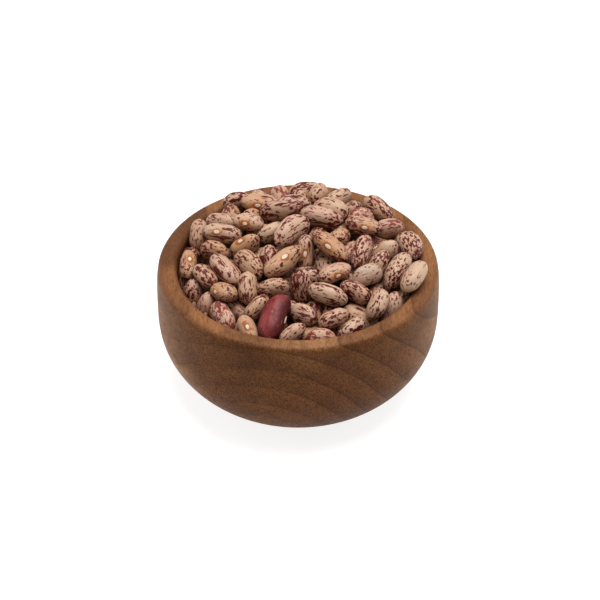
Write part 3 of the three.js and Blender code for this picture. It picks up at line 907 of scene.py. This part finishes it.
def bean_skin(name, pale, warm, mark, specks, streaks, patches, wrinkles=0):
    """A bean's skin: a ground between two colours, and marks of one colour. How many specks,
    lengthwise streaks and patches it has goes from 0, none, to about 1, many."""
    skin = Finish(name)
    place = skin.attribute("bean_place")
    look = skin.attribute("bean_look")
    own, amount, warmth = (skin.axis(look, letter) for letter in "XYZ")
    up, along = (skin.axis(place, letter) for letter in "YZ")
    far = skin.maths("MULTIPLY", own, 97)
    away = skin.add("ShaderNodeCombineXYZ", 0, {0: far, 1: far, 2: far})
    shifted = skin.vectors("ADD", place, away)
    fine = skin.noise(shifted, 2.6, detail=3, rough=0.6)

    # The ground is cloudy, and tan round the eye, which lies in the middle of the side up.
    clouds = skin.noise(shifted, 0.22, detail=3, rough=0.55)
    clouds = skin.maths("ADD", clouds, skin.maths("MULTIPLY", warmth, 0.45))
    ground = skin.blend(skin.between(clouds, 0.52, 0.97), pale, warm)
    eye_side = skin.between(up, 0, 2)
    from_eye = skin.length(skin.stretch(place, 1, 0, 0.6))
    ragged = skin.maths("ADD", from_eye, skin.between(skin.noise(shifted, 0.9), 0.3, 0.7, -0.35, 0.35))
    near_eye = skin.maths("MULTIPLY", skin.between(ragged, EYE_EDGE, EYE_HALO_EDGE, 1, 0), eye_side)
    ground = skin.blend(skin.maths("MULTIPLY", near_eye, HALO_SHARE), ground, EYE_TAN)

    # Specks are short, and crowd towards the ends and the back. Streaks run along the bean, and
    # patches cover an end or a side. Round them all the ground blushes.
    to_end = skin.between(skin.maths("ABSOLUTE", along), 2, 6.5, 0, MORE_AT_ENDS)
    to_back = skin.between(up, -3.5, 1.5, MORE_AT_BACK, 0)
    on_some = skin.maths("MULTIPLY", amount, MORE_ON_SOME)
    by_place = skin.between(skin.noise(shifted, 0.16), 0.3, 0.7, -MORE_BY_PLACE, MORE_BY_PLACE)
    more = skin.maths("ADD", skin.maths("ADD", to_end, to_back), on_some)
    more = skin.maths("ADD", more, by_place)
    speck = skin.noise(skin.stretch(shifted, 1, 1, 0.5), 1.3, detail=3, rough=0.55, distortion=0.3)
    speck = skin.maths("ADD", speck, more)
    broken = skin.between(skin.noise(skin.stretch(shifted, 1, 1, 0.5), 0.5), 0.3, 0.7, -0.07, 0.07)
    streak = skin.noise(skin.stretch(shifted, 1, 1, 0.13), 0.85, detail=3, rough=0.6, distortion=0.3)
    streak = skin.maths("ADD", streak, broken)
    patch = skin.noise(skin.stretch(shifted, 1, 1, 0.7), 0.19, detail=4, rough=0.62, distortion=0.5)
    marks = 0.0
    blush = 0.0
    edges = (
        (speck, 0.742 - 0.10 * specks),
        (streak, 0.74 - 0.15 * streaks),
        (patch, 0.79 - 0.20 * patches),
    )
    for pattern, edge in edges:
        marks = skin.maths("MAXIMUM", marks, skin.between(pattern, edge, edge + MARK_BLUR))
        blush = skin.maths("MAXIMUM", blush, skin.between(pattern, edge - BLUSH_REACH, edge + 0.01))
    clear_of_eye = skin.between(near_eye, 0.3, 0.9, 1, 0)
    faded = skin.blend(skin.between(skin.noise(shifted, 0.35), 0.5, 0.7, 0, 0.5), mark, MAUVE)
    colour = skin.blend(skin.maths("MULTIPLY", blush, BLUSH_SHARE), ground, BLUSH)
    colour = skin.blend(skin.maths("MULTIPLY", marks, clear_of_eye), colour, faded)

    # A ragged orange-brown ring frames the white of the eye.
    ring = skin.maths("MULTIPLY", skin.between(ragged, EYE_EDGE, EYE_RING_EDGE, 1, 0), eye_side)
    colour = skin.blend(skin.maths("MULTIPLY", ring, 0.95), colour, EYE_RING)
    colour = skin.blend(skin.between(fine, 0.35, 0.75, 0, 0.14), colour, DUST)
    skin.plug(skin.shader.inputs["Base Color"], colour)
    skin.plug(skin.shader.inputs["Roughness"], skin.between(fine, 0.3, 0.7, 0.38, 0.5))
    skin.shader.inputs["Specular IOR Level"].default_value = 0.25
    height = skin.maths("MULTIPLY", fine, 0.35)
    if wrinkles:
        crease = skin.noise(skin.stretch(shifted, 1, 1, 0.6), 0.8, detail=3, distortion=1.2)
        height = skin.maths("ADD", height, skin.maths("MULTIPLY", crease, 6 * wrinkles))
    skin.bump(height, 0.05 * MM)
    return skin.material


# For each look: its two ground colours, the colour of its marks, how many specks, streaks and
# patches it has, and how wrinkled it is.
KINDS = {
    "speckled": (PINK_CREAM, BUFF, MAROON, 1.2, 0.5, 0.1, 0),
    "streaked": (CREAM, PINK_CREAM, MAROON, 0.8, 1.1, 0.2, 0),
    "patched": (CREAM, BUFF, MAROON, 1.1, 0.8, 0.6, 0),
    "pink": (PINK_CREAM, LILAC, BRICK, 1.1, 1.0, 0.5, 0),
    "tan": (BUFF, TAN, MAROON, 1.1, 0.5, 0, 0),
    "pale": (CREAM, PINK_CREAM, MAROON, 0.85, 0.55, 0, 0),
    "dark": (CREAM, CREAM, DARK_MAROON, 1.2, 1.4, 1.5, 0),
    "wrinkled": (GREY_CREAM, LILAC, MAROON, 0.4, 0.3, 0, 1),
}

dice = np.random.default_rng(LOOK_SEED)
skins = [Skin(dice) for bean in beans]
bean_model = take_mesh(model_bean())
for kind, look in KINDS.items():
    chosen = [i for i, bean in enumerate(beans) if bean.kind == kind]
    kind_beans = [beans[i] for i in chosen]
    kind_skins = [skins[i] for i in chosen]
    piece = join_copies(kind + "_beans", bean_model, kind_beans, kind_skins, CURL)
    piece.data.materials.append(bean_skin(kind + "_skin", *look))
    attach(piece, "root")
    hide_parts("beans")

# ---------------------------------------------------------------- the beans' eyes
# The white oval scar at the middle of each bean's inner edge, where it hung in the pod: a little
# raised pad with a slit along it.
EYE_LENGTH = 0.155  # share of the bean's length
EYE_WIDTH = 0.19  # share of its thickness
EYE_HEIGHT = 0.035  # share of its width
SLIT_WIDTH = 0.1  # shares of the eye, out from its middle, that its slit takes
SLIT_LENGTH = 0.4
SLIT_SINK = 0.45  # the slit's floor and its underside draw together to this share
EYE_WHITE = (0.85, 0.80, 0.70, 1)


def model_eye():
    bpy.ops.object.select_all(action="DESELECT")
    bpy.ops.mesh.primitive_uv_sphere_add(segments=20, ring_count=10, radius=0.5)
    eye = bpy.context.object
    bpy.ops.object.mode_set(mode="EDIT")
    bpy.ops.transform.resize(value=(EYE_WIDTH, EYE_HEIGHT, EYE_LENGTH))
    slit = (SLIT_WIDTH * EYE_WIDTH, SLIT_LENGTH * EYE_LENGTH)
    select_points(eye, lambda x, y, z: abs(x) < slit[0] and abs(z) < slit[1])
    bpy.ops.transform.resize(value=(1, SLIT_SINK, 1))
    bpy.ops.mesh.select_all(action="SELECT")
    bpy.ops.transform.translate(value=(0, 0.5 - 0.1 * EYE_HEIGHT, 0))
    bpy.ops.object.mode_set(mode="OBJECT")
    return eye


def eye_white():
    skin = Finish("eye_white")
    place = skin.attribute("bean_place")
    fine = skin.noise(place, 3.0, detail=3)
    slit = skin.between(skin.maths("ABSOLUTE", skin.axis(place, "X")), 0.05, 0.16, 0.25, 0)
    colour = skin.blend(fine, EYE_WHITE, CREAM)
    colour = skin.blend(slit, colour, EYE_TAN)
    skin.plug(skin.shader.inputs["Base Color"], colour)
    skin.plug(skin.shader.inputs["Roughness"], 0.7)
    skin.bump(fine, 0.05 * MM)
    return skin.material


eye_model = take_mesh(model_eye())
eyes = join_copies("bean_eyes", eye_model, beans[1:], skins[1:], CURL)
eyes.data.materials.append(eye_white())
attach(eyes, "root")
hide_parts("beans")

# ---------------------------------------------------------------- the red kidney bean
# One larger bean of another sort lies on the front of the heap: dark red, glossier, more curled,
# with a white eye in a pale line on its hollow side.
KIDNEY_CURL = 1.7
KIDNEY_SHADE = (0.060, 0.008, 0.008, 1)
KIDNEY_RED = (0.150, 0.017, 0.018, 1)
KIDNEY_SHEEN = (0.250, 0.060, 0.056, 1)
KIDNEY_FLECK = (0.50, 0.26, 0.24, 1)


def kidney_skin():
    skin = Finish("kidney_skin")
    place = skin.attribute("bean_place")
    up = skin.axis(place, "Y")
    clouds = skin.noise(skin.stretch(place, 1, 1, 0.5), 0.3, detail=4, rough=0.6)
    flecks = skin.noise(skin.stretch(place, 1, 1, 0.5), 1.6, detail=3, rough=0.6)
    # Mauve clouds over the red are a painted sheen.
    colour = skin.blend(skin.between(clouds, 0.35, 0.65), KIDNEY_RED, KIDNEY_SHEEN)
    # Painted shade darkens the bean towards its hollow side.
    colour = skin.blend(skin.between(up, 0.5, 3.6, 0, 0.85), colour, KIDNEY_SHADE)
    colour = skin.blend(skin.between(flecks, 0.61, 0.70, 0, 0.6), colour, KIDNEY_FLECK)
    skin.plug(skin.shader.inputs["Base Color"], colour)
    skin.plug(skin.shader.inputs["Roughness"], skin.between(flecks, 0.3, 0.7, 0.36, 0.46))
    skin.shader.inputs["Specular IOR Level"].default_value = 0.22
    skin.bump(flecks, 0.03 * MM)
    return skin.material


kidney_bean = join_copies("red_kidney_bean", bean_model, beans[:1], skins[:1], KIDNEY_CURL, 0)
kidney_bean.data.materials.append(kidney_skin())
kidney_eye = join_copies("kidney_bean_eye", eye_model, beans[:1], skins[:1], KIDNEY_CURL, 0)
kidney_eye.data.materials.append(eye_white())
for piece in (kidney_bean, kidney_eye):
    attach(piece, "root")
    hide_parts("kidney_bean")

# ---------------------------------------------------------------- the floor and the light
# A plain pale floor, a large soft light above, a weaker one from each side and white all round.
# The floor is grey but glows by itself, so that it looks white and keeps only a faint shadow.
FLOOR_WIDTH = 6  # this and the lights' places and widths are in metres
FLOOR_GREY = (0.36, 0.36, 0.36, 1)
FLOOR_GLOW = 0.69
WHITE = (1, 1, 1, 1)
ROOM_LIGHT = 0.3

bpy.ops.object.select_all(action="DESELECT")
bpy.ops.mesh.primitive_plane_add(size=FLOOR_WIDTH)
floor = bpy.context.object
floor.name = "pale_floor"
paper = Finish("white_paper")
paper.plug(paper.shader.inputs["Base Color"], FLOOR_GREY)
paper.plug(paper.shader.inputs["Roughness"], 0.9)
paper.plug(paper.shader.inputs["Emission Color"], WHITE)
paper.plug(paper.shader.inputs["Emission Strength"], FLOOR_GLOW)
floor.data.materials.append(paper.material)


def soft_light(name, place, width, power):
    """A square light that faces the heap."""
    bpy.ops.object.select_all(action="DESELECT")
    bpy.ops.object.light_add(type="AREA", location=place)
    light = bpy.context.object
    light.name = name
    light.data.size = width
    light.data.energy = power
    aim = bpy.data.objects.new(name + "_aim", None)
    aim.location = (0, 0, AIM_HEIGHT)
    bpy.context.collection.objects.link(aim)
    facing = light.constraints.new("TRACK_TO")
    facing.target = aim
    facing.track_axis = "TRACK_NEGATIVE_Z"
    facing.up_axis = "UP_Y"


soft_light("light_above", place=(0.14, 0.10, 1.15), width=0.9, power=13.8)
soft_light("light_left", place=(-1.0, 0.1, 0.5), width=0.7, power=1.6)
soft_light("light_right", place=(1.0, 0.1, 0.5), width=0.7, power=0.9)
world = bpy.data.worlds.new("white_room")
world.use_nodes = True
background = world.node_tree.nodes["Background"]
background.inputs["Color"].default_value = WHITE
background.inputs["Strength"].default_value = ROOM_LIGHT
bpy.context.scene.world = world
bpy.context.scene.view_settings.view_transform = "Standard"
bpy.context.scene.view_settings.look = "Medium High Contrast"
